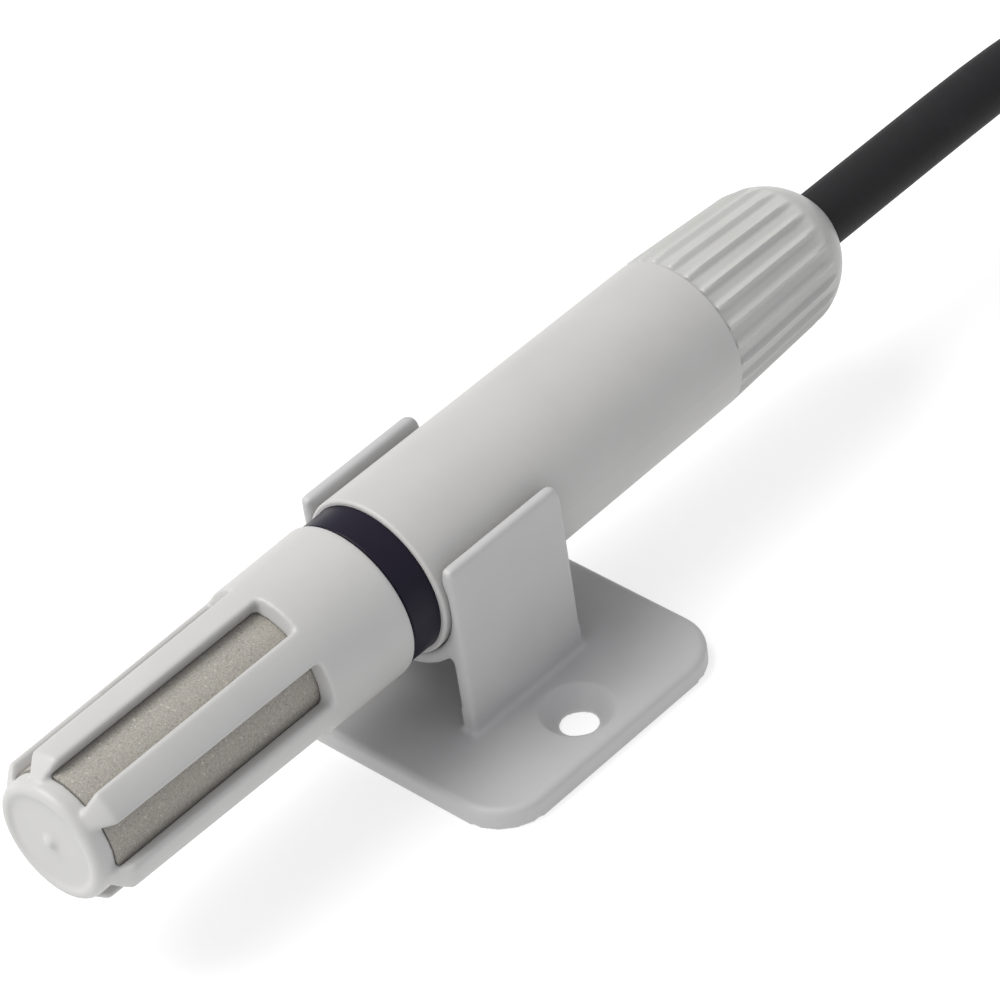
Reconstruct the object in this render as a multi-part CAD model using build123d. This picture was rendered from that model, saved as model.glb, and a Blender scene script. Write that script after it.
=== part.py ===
from build123d import *

import os
from math import atan2, cos, degrees, pi, radians, sin, sqrt, tan

# Air temperature probe with a slotted filter cap and a fixed cable, held in a screw-down clip.
# The probe lies along Y: its filter cap points to -Y and its cable leaves to +Y.
# Z points up from the clip's mounting face, and the origin is on that face, midway between
# the two screw holes. Lengths are in millimetres and angles in degrees.

# Clearances
slip = 0.05
seat_gap = 0.1
side_gap = 0.3

# Where the probe lies in the clip
axis_height = 18.3
body_front = -9.0

# Body: a moulded tube that tapers a little towards the gland
body_length = 44.8
body_front_radius = 9.0
body_rear_radius = 8.78
body_wall = 1.58
body_rim = 0.55
body_end_wall = 2.2
body_edge_rounding = 0.35
board_groove_depth = 0.5

# Sensor head: the black collar between cap and body, with a spigot each way
collar_visible_length = 3.7
collar_sunk_length = 2.0
head_body_spigot_length = 6.5
head_cap_spigot_length = 7.0
head_nose_gap = 1.1
head_nose_length = 3.0
head_edge_rounding = 0.25
ring_section = 1.5
ring_squeeze = 0.08

# Filter cap: a slotted cage with a smaller end disc
cap_step = 0.25
cap_taper = 0.33
cap_sleeve_wall = 1.5
cap_length = 41.3
cap_rim_rounding = 0.45
cap_disc_inset = 0.15
cap_disc_thickness = 2.3
cap_disc_rounding = 0.8
cap_dish_rim = 1.15
cap_dish_depth = 0.3
cap_dish_wall = 0.25
cap_gate_radius = 0.65
cap_gate_height = 0.25
rib_end_slope = 2.2
rib_end_overlap = 0.15
rib_end_rounding = 0.6
rib_depth = 1.52
rib_edge_rounding = 0.4
window_count = 6
window_phase = 12.5
window_width = 4.7
window_rear_offset = 11.1
window_draft = 0.8

# Filter: a sintered sleeve inside the cage
filter_wall = 0.8

# Sensing elements on a narrow board that stands in the filter
element_board_width = 8.0
element_board_thickness = 1.0
element_board_tip_gap = 5.0
element_board_sunk = 2.2
temperature_chip = (2.0, 4.0, 1.1)
temperature_chip_offset = 3.0
humidity_chip = (4.4, 6.0, 0.5)
element_lead_radius = 0.15
pin_count = 4
pin_pitch = 1.27
pin_radius = 0.3
pin_landing = 3.5
pin_plugged_length = 3.0

# Signal board inside the body
signal_board_thickness = 1.6
signal_board_drop = 1.4
pin_socket_size = (8.0, 5.0, 3.6)
processor_size = (5.0, 5.0, 1.0)
chip_bevel = 0.12
small_part_size = (1.2, 2.0, 0.8)
small_part_spacing = 3.0
small_part_rows = 2
terminal_size = (8.4, 5.0, 3.4)
terminal_end_margin = 0.5

# Cable and its four wires
cable_radius = 3.25
jacket_lead_in = 2.0
wire_radius = 0.55
wire_spread = 0.95
wire_terminal_pitch = 2.0
wire_straight = 1.4
wire_crossing = 2.7
wire_bend_radius = 1.0

# Cable gland: spigot on the body, rubber seal, clamping fingers and ribbed nut
spigot_wall = 1.7
spigot_length = 9.6
spigot_seat_floor = 2.6
seal_lip_radius = 4.2
seal_lip_length = 1.2
clamp_base_length = 1.4
clamp_base_radius = 6.4
clamp_length = 7.0
clamp_root_radius = 5.9
clamp_tip_radius = 4.7
clamp_finger_count = 8
clamp_slit_width = 0.7
nut_step = 0.04
nut_wall = 1.77
nut_taper = 0.7
nut_end_wall = 3.9
nut_dome_length = 7.4
nut_dome_radius = 8.95
nut_mouth_radius = 4.1
nut_exit_clearance = 0.3
nut_cone_clearance = 0.15
nut_rib_count = 24
nut_valley_depth = 0.45
nut_valley_cut_radius = 0.9

# Clip: base plate, saddle and two arms in one moulding
plate_length_y = 33.2
plate_thickness = 2.4
plate_corner_radius = 5.6
plate_edge_rounding = 0.7
screw_arm_gap = 1.8
screw_edge_gap = 1.75
screw_hole_radius = 2.0
screw_head_radius = 3.85
screw_sink_overrun = 0.5
clip_front = -8.6
clip_length = 16.1
saddle_wall = 1.5
clip_bore_clearance = 0.08
arm_side_wall = 1.075
arm_rise = 5.15
arm_grip_rise = 3.1
arm_tip_width = 1.35
arm_leg_wall = 1.8
arm_edge_rounding = 0.35
holder_edge_rounding = 0.3
foot_rounding = 0.5
arm_rear_corner_radius = 1.3

# Plug on the far end of the cable, measured from its back face
plug_cable_depth = 6.5
plug_back_nut_length = 9.0
plug_back_nut_radius = 6.4
plug_back_nut_tip_radius = 4.6
plug_back_nut_wall = 3.0
plug_back_thread_wall = 1.25
plug_shell_radius = 6.6
plug_shell_length = 14.0
plug_grip_groove_count = 3
plug_grip_groove_width = 1.2
plug_grip_groove_depth = 0.5
plug_front_spigot_radius = 4.4
plug_front_spigot_length = 6.0
plug_rim_height = 0.4
plug_rim_length = 1.4
plug_collar_step = 1.4
plug_collar_length = 10.0
plug_knurl_count = 18
plug_knurl_cut_radius = 0.7
plug_thread_wall = 1.15
plug_thread_length = 7.0
plug_front_spigot_wall = 0.45
plug_insert_length = 6.0
plug_insert_reach = 1.8
plug_key_width = 1.0
plug_contact_count = 4
plug_contact_radius = 0.5
plug_contact_circle = 2.1
plug_contact_depth = 4.0
plug_contact_reach = 6.0
plug_edge_rounding = 0.4

# Put-away coil, two turns wide and two turns high, and its ties. The cable comes in on the
# upper outer turn, goes round clockwise seen from above, and leaves on the lower outer turn.
coil_middle = (18.2, 161.0)
coil_radius = 33.0
coil_side_turns = 2
coil_slack = 0.1
coil_entry_angle = 200.0
coil_exit_angle = 0.0
coil_lead = 25.0
coil_lift = 1.0
tie_width = 5.0
tie_thickness = 0.8
tie_angles = (90.0, 270.0)


def turned(*corners):
    """A round piece about Y. Each corner is (radius, distance along Y, rounding)."""
    points = [(radius, along) for radius, along, _ in corners]
    roundings = [rounding for _, _, rounding in corners]
    outline = FilletPolyline(*points, radius=roundings, close=True)
    return revolve(make_face(outline), Axis.Y)


def rod(radius, start, length):
    """A plain round bar on the Y axis."""
    bar = Cylinder(radius, length, align=(Align.CENTER, Align.CENTER, Align.MIN))
    return Pos(0, start, 0) * (Rot(-90, 0, 0) * bar)


def block(size, centre_x, start_y, base_z):
    """A box of (x, y, z) size that starts at start_y and stands on base_z."""
    box = Box(*size, align=(Align.CENTER, Align.MIN, Align.MIN))
    return Pos(centre_x, start_y, base_z) * box


def moved(shape, place):
    """A piece moved to its place; the pieces of a group are moved one by one."""
    if shape.children:
        return Compound(children=[place * piece for piece in shape.children])
    return place * shape


def around_axis(shape, count, first=0.0):
    """Copies of a shape turned evenly about the Y axis; angles rise from +X towards +Z."""
    return [Rot(0, -(first + k * 360 / count), 0) * shape for k in range(count)]


def tube_along(points, radius, bend_radii):
    """A round tube along straight runs joined by tangent arcs."""
    path = FilletPolyline(*points, radius=bend_radii)
    start = Vector(*points[0])
    section = Plane(origin=start, z_dir=Vector(*points[1]) - start) * Circle(radius)
    return sweep(section, path=path)


def arc_radii(points):
    """The largest even arc at each corner of a route: 0.45 of its shorter run over the half turn."""
    radii = []
    for before, corner, after in zip(points, points[1:], points[2:]):
        run_in = Vector(*corner) - Vector(*before)
        run_out = Vector(*after) - Vector(*corner)
        half_turn = radians(run_in.get_angle(run_out)) / 2
        radii.append(0.45 * min(run_in.length, run_out.length) / tan(half_turn))
    return radii


# Radii of the probe, from the body inwards and along to the cap and the gland
collar_radius = body_front_radius - body_rim - slip
body_bore_radius = body_rear_radius - body_wall
cap_rear_radius = body_front_radius - cap_step
cap_rib_radius = cap_rear_radius - cap_taper
cap_bore = cap_rear_radius - cap_sleeve_wall
head_cap_spigot_radius = cap_bore - slip
cage_bore = cap_rib_radius - rib_depth
filter_radius = cage_bore - seat_gap
cap_disc_radius = filter_radius - cap_disc_inset
cap_dish_radius = cap_disc_radius - cap_dish_rim
head_nose_radius = filter_radius - filter_wall - head_nose_gap
nut_front_radius = body_rear_radius + nut_step
nut_shoulder_radius = nut_front_radius - nut_taper
spigot_radius = nut_front_radius - nut_wall - slip
spigot_seat_radius = spigot_radius - spigot_wall
cable_bore = cable_radius + slip

# Places along the probe's axis, worked out from the sizes above
body_rear = body_front + body_length
body_inner_rear = body_rear - body_end_wall
counterbore_floor = body_front + collar_sunk_length
collar_front = body_front - collar_visible_length
cap_rear = collar_front - seat_gap
cap_front = cap_rear - cap_length
window_front = cap_front + cap_disc_thickness
window_rear = cap_rear - window_rear_offset
head_cap_end = collar_front - head_cap_spigot_length
head_front = head_cap_end - head_nose_length
head_rear = counterbore_floor + head_body_spigot_length
element_board_front = window_front + element_board_tip_gap
signal_board_front = head_rear + seat_gap
signal_board_top = signal_board_thickness / 2 - signal_board_drop
wire_entry_depth = terminal_size[1] / 2
wire_height = signal_board_top + terminal_size[2] / 2
jacket_start = body_inner_rear - jacket_lead_in
terminal_rear = jacket_start - 2 * wire_straight - wire_crossing
signal_board_rear = terminal_rear + terminal_end_margin
terminal_front = terminal_rear - terminal_size[1]
processor_start = (signal_board_front + pin_socket_size[1] + terminal_front - processor_size[1]) / 2
temperature_start = element_board_front + temperature_chip_offset
temperature_end = temperature_start + temperature_chip[1]
pin_start = head_front - pin_landing
humidity_start = (temperature_end + pin_start - humidity_chip[1]) / 2
spigot_end = body_rear + spigot_length
seal_start = body_rear + spigot_seat_floor
clamp_start = spigot_end + seat_gap
clamp_base_end = clamp_start + clamp_base_length
clamp_end = clamp_start + clamp_length
nut_rear = clamp_end + nut_end_wall
nut_shoulder = nut_rear - nut_dome_length

# Heights and sideways places of the pins and wires
pin_height = element_board_thickness / 2 + pin_radius
pin_places = [(k - (pin_count - 1) / 2) * pin_pitch for k in range(pin_count)]
terminal_places = [(k - 1.5) * wire_terminal_pitch for k in range(4)]


def body_radius_at(along):
    """Outside radius of the tapered body at a distance along Y."""
    share = (along - body_front) / body_length
    return body_front_radius + share * (body_rear_radius - body_front_radius)


def body_tube():
    """Moulded body: tapered tube, counterbored front, end wall and gland spigot."""
    tube = turned(
        (collar_radius + slip, body_front, 0),
        (body_front_radius, body_front, body_edge_rounding),
        (body_rear_radius, body_rear, body_edge_rounding),
        (spigot_radius, body_rear, 0),
        (spigot_radius, spigot_end, body_edge_rounding),
        (spigot_seat_radius, spigot_end, 0),
        (spigot_seat_radius, seal_start, 0),
        (cable_bore, seal_start, 0),
        (cable_bore, body_inner_rear, 0),
        (body_bore_radius, body_inner_rear, 0),
        (body_bore_radius, counterbore_floor, 0),
        (collar_radius + slip, counterbore_floor, 0),
    )
    groove_size = (
        2 * (body_bore_radius + board_groove_depth),
        body_inner_rear - counterbore_floor,
        signal_board_thickness + 2 * seat_gap,
    )
    return tube - block(groove_size, 0, counterbore_floor, signal_board_top + seat_gap - groove_size[2])


def ring_groove(spigot, centre):
    """Corners of a seal ring's groove in a spigot of this radius, from front to rear."""
    half = ring_section / 2 + seat_gap
    floor = spigot + slip - ring_section + ring_squeeze
    return [
        (spigot, centre - half, 0),
        (floor, centre - half, 0),
        (floor, centre + half, 0),
        (spigot, centre + half, 0),
    ]


def cap_ring_centre():
    """Middle of the seal ring between head and cap."""
    return (head_cap_end + collar_front) / 2


def head_ring_centre():
    """Middle of the seal ring between head and body."""
    return counterbore_floor + head_body_spigot_length / 2


def sensor_head():
    """Black head: visible collar, a grooved spigot each way, a slotted nose and pin holes."""
    body_spigot = body_bore_radius - slip
    collar_rear = counterbore_floor - slip
    head = turned(
        (0, head_front, 0),
        (head_nose_radius, head_front, head_edge_rounding),
        (head_nose_radius, head_cap_end, 0),
        (head_cap_spigot_radius, head_cap_end, head_edge_rounding),
        *ring_groove(head_cap_spigot_radius, cap_ring_centre()),
        (head_cap_spigot_radius, collar_front, 0),
        (collar_radius, collar_front, head_edge_rounding),
        (collar_radius, collar_rear, head_edge_rounding),
        (body_spigot, collar_rear, 0),
        *ring_groove(body_spigot, head_ring_centre()),
        (body_spigot, head_rear, head_edge_rounding),
        (0, head_rear, 0),
    )
    slot_height = element_board_thickness + 2 * slip
    slot_size = (element_board_width + 2 * slip, element_board_sunk + seat_gap, slot_height)
    head -= block(slot_size, 0, head_front, -slot_height / 2)
    pin_hole = rod(pin_radius + slip, head_front, head_rear - head_front)
    return head - [Pos(x, 0, pin_height) * pin_hole for x in pin_places]


def contact_pins():
    """Pins that lie along the element board, pass through the head and enter the socket."""
    pin = rod(pin_radius, pin_start, signal_board_front + pin_plugged_length - pin_start)
    return Compound(children=[Pos(x, 0, pin_height) * pin for x in pin_places])


def seal_ring(bore, centre):
    """A seal ring squeezed between its groove's floor and the bore round it."""
    squeezed = ring_section - ring_squeeze
    section = Ellipse((squeezed - slip) / 2, ring_section / 2)
    return revolve(Pos(bore - squeezed / 2, centre) * section, Axis.Y)


def cap_o_ring():
    """Seal ring between the head and the filter cap."""
    return seal_ring(cap_bore, cap_ring_centre())


def head_o_ring():
    """Seal ring between the head and the body."""
    return seal_ring(body_bore_radius, head_ring_centre())


def window_cutter():
    """Space of one cap window: parallel sides and a rear wall with some draft."""
    inner = filter_radius - filter_wall
    outer = cap_rear_radius + seat_gap
    side = Polyline(
        (inner, cap_front),
        (outer, cap_front),
        (outer, window_rear),
        (inner, window_rear - window_draft),
        close=True,
    )
    return extrude(make_face(side), window_width / 2, both=True)


def filter_cap():
    """Cage of six ribs on a closed rear sleeve, closed by a dished disc of smaller radius."""
    rib_start = cap_front + cap_disc_rounding
    cage = turned(
        (cap_disc_radius - rib_end_overlap, rib_start, 0),
        (cap_rib_radius, rib_start + rib_end_slope, rib_end_rounding),
        (cap_rear_radius, cap_rear, cap_rim_rounding),
        (cap_bore, cap_rear, 0),
        (cap_bore, head_cap_end - seat_gap, 0),
        (cage_bore, head_cap_end - seat_gap, 0),
        (cage_bore, window_front, 0),
        (cap_disc_radius - rib_end_overlap, window_front, 0),
    )
    cage -= around_axis(window_cutter(), window_count, window_phase)
    rib_middle = (cap_rib_radius + cage_bore) / 2
    rib_edges = [
        edge
        for edge in cage.edges()
        if edge.length > (window_rear - window_front) / 2
        and sqrt(edge.center().X ** 2 + edge.center().Z ** 2) > rib_middle
    ]
    cage = fillet(rib_edges, rib_edge_rounding)
    dish_floor = cap_front + cap_dish_depth
    disc = turned(
        (0, dish_floor, 0),
        (cap_dish_radius - cap_dish_wall, dish_floor, 0),
        (cap_dish_radius, cap_front, 0),
        (cap_disc_radius, cap_front, cap_disc_rounding),
        (cap_disc_radius, window_front, 0),
        (0, window_front, 0),
    )
    gate = rod(cap_gate_radius, dish_floor - cap_gate_height, cap_gate_height + seat_gap)
    return cage + disc + gate


def filter_sleeve():
    """Sintered sleeve between the cap's disc and the head's spigot."""
    start = window_front + slip
    length = head_cap_end - slip - start
    return rod(filter_radius, start, length) - rod(filter_radius - filter_wall, start, length)


def element_board():
    """Narrow board for the sensing elements, pushed into the head's slot."""
    length = head_front + element_board_sunk - element_board_front
    size = (element_board_width, length, element_board_thickness)
    return block(size, 0, element_board_front, -element_board_thickness / 2)


def temperature_element():
    """Thin-film temperature chip near the board's tip."""
    chip = block(temperature_chip, 0, temperature_start, element_board_thickness / 2)
    return chamfer(chip.edges().group_by(Axis.Z)[-1], chip_bevel)


def humidity_element():
    """Flat humidity chip further back on the same board."""
    chip = block(humidity_chip, 0, humidity_start, element_board_thickness / 2)
    return chamfer(chip.edges().group_by(Axis.Z)[-1], chip_bevel)


def element_leads():
    """Two fine legs that lie on the board between the two chips."""
    lead = rod(element_lead_radius, temperature_end, humidity_start - seat_gap - temperature_end)
    height = element_board_thickness / 2 + element_lead_radius
    spread = temperature_chip[0] / 4
    return Compound(children=[Pos(x, 0, height) * lead for x in (-spread, spread)])


def signal_board():
    """Signal board, held by its long sides in the body's two grooves."""
    half_width = body_bore_radius + board_groove_depth - side_gap
    size = (2 * half_width, signal_board_rear - signal_board_front, signal_board_thickness)
    return block(size, 0, signal_board_front, signal_board_top - signal_board_thickness)


def pin_socket():
    """Socket at the board's front edge that takes the head's pins."""
    socket = block(pin_socket_size, 0, signal_board_front, signal_board_top)
    hole = rod(pin_radius + slip, signal_board_front, pin_plugged_length + seat_gap)
    return socket - [Pos(x, 0, pin_height) * hole for x in pin_places]


def processor_chip():
    """Signal chip: a flat package with a bevelled top."""
    chip = block(processor_size, 0, processor_start, signal_board_top)
    return chamfer(chip.edges().group_by(Axis.Z)[-1], chip_bevel)


def board_capacitors():
    """Small capacitors in a row on each side of the signal chip."""
    side = processor_size[0] / 2 + small_part_size[0]
    parts = [
        block(small_part_size, x, processor_start + k * small_part_spacing, signal_board_top)
        for x in (-side, side)
        for k in range(small_part_rows)
    ]
    return Compound(children=parts)


def wire_terminal():
    """Four-way terminal near the board's rear edge, with an entry for each wire."""
    terminal = block(terminal_size, 0, terminal_front, signal_board_top)
    entry = rod(wire_radius + slip, terminal_rear - wire_entry_depth, wire_entry_depth)
    return terminal - [Pos(x, 0, wire_height) * entry for x in terminal_places]


def lead_wire(index):
    """One insulated wire from the terminal to the end of the cable's jacket."""
    side, level = [(-1, -1), (-1, 1), (1, 1), (1, -1)][index]
    x, z = side * wire_spread, level * wire_spread
    place = terminal_places[index]
    points = [
        (place, terminal_rear - wire_entry_depth + seat_gap, wire_height),
        (place, terminal_rear + wire_straight, wire_height),
        (x, jacket_start - wire_straight, z),
        (x, jacket_start, z),
    ]
    return tube_along(points, wire_radius, wire_bend_radius)


def gland_seal():
    """Rubber seal round the cable, in the seat of the body's spigot."""
    outer = spigot_seat_radius - slip
    return turned(
        (cable_bore, seal_start, 0),
        (outer, seal_start, 0),
        (outer, spigot_end - seal_lip_length, 0),
        (seal_lip_radius, spigot_end, 0),
        (cable_bore, spigot_end, 0),
    )


def gland_clamp():
    """Ring of springy fingers that the nut's cone presses on the cable."""
    ring = turned(
        (cable_bore, clamp_start, 0),
        (clamp_base_radius, clamp_start, 0),
        (clamp_base_radius, clamp_base_end, 0),
        (clamp_root_radius, clamp_base_end, 0),
        (clamp_tip_radius, clamp_end, 0),
        (cable_bore, clamp_end, 0),
    )
    slit_reach = clamp_base_radius + seat_gap
    slit_size = (slit_reach, clamp_length, clamp_slit_width)
    slit = block(slit_size, slit_reach / 2, clamp_base_end, -clamp_slit_width / 2)
    return ring - around_axis(slit, clamp_finger_count)


def nut_valley():
    """One valley of the nut: a round bar along the nut's slope, which runs out at the dome."""
    slope = degrees(atan2(nut_taper, nut_shoulder - body_rear))
    bar = rod(nut_valley_cut_radius, -nut_valley_cut_radius, nut_rear - body_rear)
    centre_radius = nut_front_radius - nut_valley_depth + nut_valley_cut_radius
    return Pos(centre_radius, body_rear, 0) * (Rot(0, 0, slope) * bar)


def gland_nut():
    """Ribbed and domed nut that closes the gland and presses the clamp's fingers."""
    front = body_rear + slip
    shoulder = (nut_shoulder_radius, nut_shoulder)
    mouth = (nut_mouth_radius, nut_rear)
    exit_bore = cable_radius + nut_exit_clearance
    thread_bore = spigot_radius + slip
    base_bore = clamp_base_radius + slip
    cone_root = clamp_root_radius + nut_cone_clearance
    cone_tip = clamp_tip_radius + nut_cone_clearance
    inside = Polyline(
        mouth,
        (exit_bore, nut_rear),
        (exit_bore, clamp_end + seat_gap),
        (cone_tip, clamp_end + seat_gap),
        (cone_root, clamp_base_end + slip),
        (base_bore, clamp_base_end + slip),
        (base_bore, spigot_end + slip),
        (thread_bore, spigot_end + slip),
        (thread_bore, front),
        (nut_front_radius, front),
        shoulder,
    )
    dome = RadiusArc(shoulder, mouth, -nut_dome_radius)
    nut = revolve(make_face([inside, dome]), Axis.Y)
    return nut - around_axis(nut_valley(), nut_rib_count, 180 / nut_rib_count)


# Radii and places of the clip, from the body that it holds
clip_bore_radius = body_radius_at(clip_front) + clip_bore_clearance
arm_outer_x = clip_bore_radius + arm_side_wall
screw_place_x = arm_outer_x + screw_arm_gap + screw_head_radius
plate_length_x = 2 * (screw_place_x + screw_head_radius + screw_edge_gap)


def holder_profile():
    """The clip's saddle and arms seen along the probe, as a face in X and Z."""
    grip_x = sqrt(clip_bore_radius**2 - arm_grip_rise**2)
    grip_z = axis_height + arm_grip_rise
    top = axis_height + arm_rise
    tip_x = arm_outer_x - arm_tip_width
    leg_x = arm_outer_x - arm_leg_wall
    whole = make_face(
        Polyline(
            (-arm_outer_x, plate_thickness / 2),
            (arm_outer_x, plate_thickness / 2),
            (arm_outer_x, top),
            (tip_x, top),
            (grip_x, grip_z),
            (-grip_x, grip_z),
            (-tip_x, top),
            (-arm_outer_x, top),
            close=True,
        )
    )
    tunnel = Rectangle(2 * leg_x, axis_height, align=(Align.CENTER, Align.MIN))
    tunnel -= Pos(0, axis_height) * Circle(clip_bore_radius + saddle_wall)
    return whole - Pos(0, axis_height) * Circle(clip_bore_radius) - tunnel


def holder():
    """Saddle and arms with rounded outer edges."""
    front = Plane(origin=(0, clip_front, 0), x_dir=(1, 0, 0), z_dir=(0, -1, 0))
    shape = extrude(front * holder_profile(), -clip_length)
    clip_rear = clip_front + clip_length
    arm_top = axis_height + arm_rise
    rear_corners = [
        edge
        for edge in shape.edges().filter_by(Axis.X)
        if edge.center().Y > clip_rear - slip and edge.center().Z > arm_top - slip
    ]
    shape = fillet(rear_corners, arm_rear_corner_radius)
    uprights = [edge for edge in shape.edges().filter_by(Axis.Z) if abs(edge.center().X) > arm_outer_x - slip]
    shape = fillet(uprights, arm_edge_rounding)
    for face_y in (clip_front, clip_rear):
        face_edges = [
            edge
            for edge in shape.edges()
            if all(abs(corner.Y - face_y) < slip for corner in edge.vertices())
            and edge.center().Z > plate_thickness
            and abs(edge.center().X) < arm_outer_x - arm_edge_rounding
        ]
        shape = fillet(face_edges, holder_edge_rounding)
    return shape


def mounting_clip():
    """One moulding: rounded base plate, countersunk screw holes, saddle and two arms."""
    plate = extrude(RectangleRounded(plate_length_x, plate_length_y, plate_corner_radius), plate_thickness)
    plate = fillet(plate.edges().group_by(Axis.Z)[-1], plate_edge_rounding)
    clip = plate + holder()
    foot_edges = [
        edge
        for edge in clip.edges()
        if all(abs(corner.Z - plate_thickness) < slip for corner in edge.vertices())
        and arm_outer_x - arm_leg_wall - slip < abs(edge.center().X) < arm_outer_x + slip
        and abs(edge.center().Y) < clip_length
    ]
    clip = fillet(foot_edges, foot_rounding)
    sink_depth = screw_head_radius - screw_hole_radius
    hole = Cylinder(screw_hole_radius, 3 * plate_thickness)
    sink = Cone(
        screw_hole_radius,
        screw_head_radius + screw_sink_overrun,
        sink_depth + screw_sink_overrun,
        align=(Align.CENTER, Align.CENTER, Align.MIN),
    )
    for side in (-1, 1):
        place = Pos(side * screw_place_x, 0, 0)
        clip -= place * hole
        clip -= place * Pos(0, 0, plate_thickness - sink_depth) * sink
    return clip


# Size of the coil's bundle and places of its outer turns
bundle_width = 2 * (cable_radius * coil_side_turns + coil_slack)
coil_outer_turn = coil_radius + bundle_width / 2 - coil_slack - cable_radius
coil_low_turn = coil_lift + coil_slack + cable_radius
coil_high_turn = coil_low_turn + 2 * cable_radius


def beside_coil(angle, height, distance):
    """Point on the tangent of the coil's outer turn at an angle, a distance along the cable."""
    a = radians(angle)
    x = coil_middle[0] + coil_outer_turn * cos(a) + distance * sin(a)
    y = coil_middle[1] + coil_outer_turn * sin(a) - distance * cos(a)
    return (x, y, height)


# Route of the cable from its stripped end in the body over to the coil, and of the short
# stretch from the coil to the plug. The points away from the coil are chosen by hand.
cable_route = [
    (0.0, 31.6, 18.3),
    (0.0, 64.0, 18.3),
    (0.0, 96.0, 18.1),
    beside_coil(coil_entry_angle, coil_high_turn, -40.0),
    beside_coil(coil_entry_angle, coil_high_turn, -coil_lead),
]
tail_route = [
    beside_coil(coil_exit_angle, coil_low_turn, coil_lead),
    beside_coil(coil_exit_angle, coil_low_turn, 40.0),
    (50.3, 108.5, 7.4),
    (50.3, 95.0, 7.4),
]


def free_tube(name, route):
    """A stretch of the cable along its route, with its arcs and its volume printed."""
    radii = arc_radii(route)
    tube = tube_along(route, cable_radius, radii)
    length = FilletPolyline(*route, radius=radii).length
    share = tube.volume / (pi * cable_radius**2 * length)
    print(name, "arc radii", [round(radius, 1) for radius in radii])
    print(name, "length", round(length, 1), "volume over section times length", round(share, 4))
    return tube


def cable():
    """The cable from its stripped end in the body to the face where the coil starts."""
    return free_tube("cable", cable_route)


def cable_tail():
    """Short stretch from the coil to the plug."""
    return free_tube("cable tail", tail_route)


def bundle_section(extra=0.0):
    """Section of the coil's bundle, or of a tie's loop that stands off it by extra."""
    width = bundle_width + 2 * extra
    section = RectangleRounded(width, width, cable_radius - coil_slack + extra)
    return Plane.XZ * Pos(coil_radius, coil_lift + bundle_width / 2) * section


def cable_coil():
    """Outer shape of the put-away coil, with the two ends that leave it."""
    coil = Pos(*coil_middle) * revolve(bundle_section(), Axis.Z)
    end = rod(cable_radius, 0, coil_lead)
    entry = Pos(*cable_route[-1]) * Rot(0, 0, coil_entry_angle - 180) * end
    return coil + entry + Pos(*tail_route[0]) * end


def coil_ties():
    """Two straps round the coil's bundle, which lies on them."""
    loop = bundle_section(slip + tie_thickness) - bundle_section(slip)
    sweep_angle = degrees(tie_width / coil_radius)
    strap = revolve(loop, Axis.Z, revolution_arc=sweep_angle)
    turned_straps = [Rot(0, 0, angle - sweep_angle / 2) * strap for angle in tie_angles]
    return Compound(children=[Pos(*coil_middle) * tie for tie in turned_straps])


# Places along the plug, from its back face
plug_spigot_start = plug_back_nut_wall + slip
plug_shell_start = plug_back_nut_length + slip
plug_shell_end = plug_shell_start + plug_shell_length
plug_front_end = plug_shell_end + plug_front_spigot_length
plug_rim_start = plug_front_end - plug_rim_length
plug_collar_start = plug_shell_end + seat_gap
plug_thread_start = plug_collar_start + plug_collar_length
plug_insert_front = plug_front_end + plug_insert_reach
plug_contact_start = plug_insert_front - plug_contact_depth

# Radii of the plug, from its spigots outwards and inwards
plug_rim_radius = plug_front_spigot_radius + plug_rim_height
plug_thread_radius = plug_rim_radius + slip + plug_thread_wall
plug_collar_radius = plug_thread_radius + plug_collar_step
plug_insert_radius = plug_front_spigot_radius - plug_front_spigot_wall - slip
plug_back_spigot_radius = plug_back_nut_radius - plug_back_thread_wall - slip


def in_plug(shape):
    """Put a plug piece, made along +Y from the plug's back face, on the cable's end."""
    end = Vector(*tail_route[-1])
    heading = (end - Vector(*tail_route[-2])).normalized()
    back_face = Plane(origin=end - heading * plug_cable_depth, z_dir=heading)
    return moved(shape, back_face.location * Rot(90, 0, 0))


def plug_back_nut():
    """Nut at the plug's back, tapered towards the cable and screwed on the shell's spigot."""
    thread_bore = plug_back_spigot_radius + slip
    return in_plug(
        turned(
            (cable_bore, 0, 0),
            (plug_back_nut_tip_radius, 0, plug_edge_rounding),
            (plug_back_nut_radius, plug_back_nut_length / 2, 0),
            (plug_back_nut_radius, plug_back_nut_length, plug_edge_rounding),
            (thread_bore, plug_back_nut_length, 0),
            (thread_bore, plug_back_nut_wall, 0),
            (cable_bore, plug_back_nut_wall, 0),
        )
    )


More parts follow.
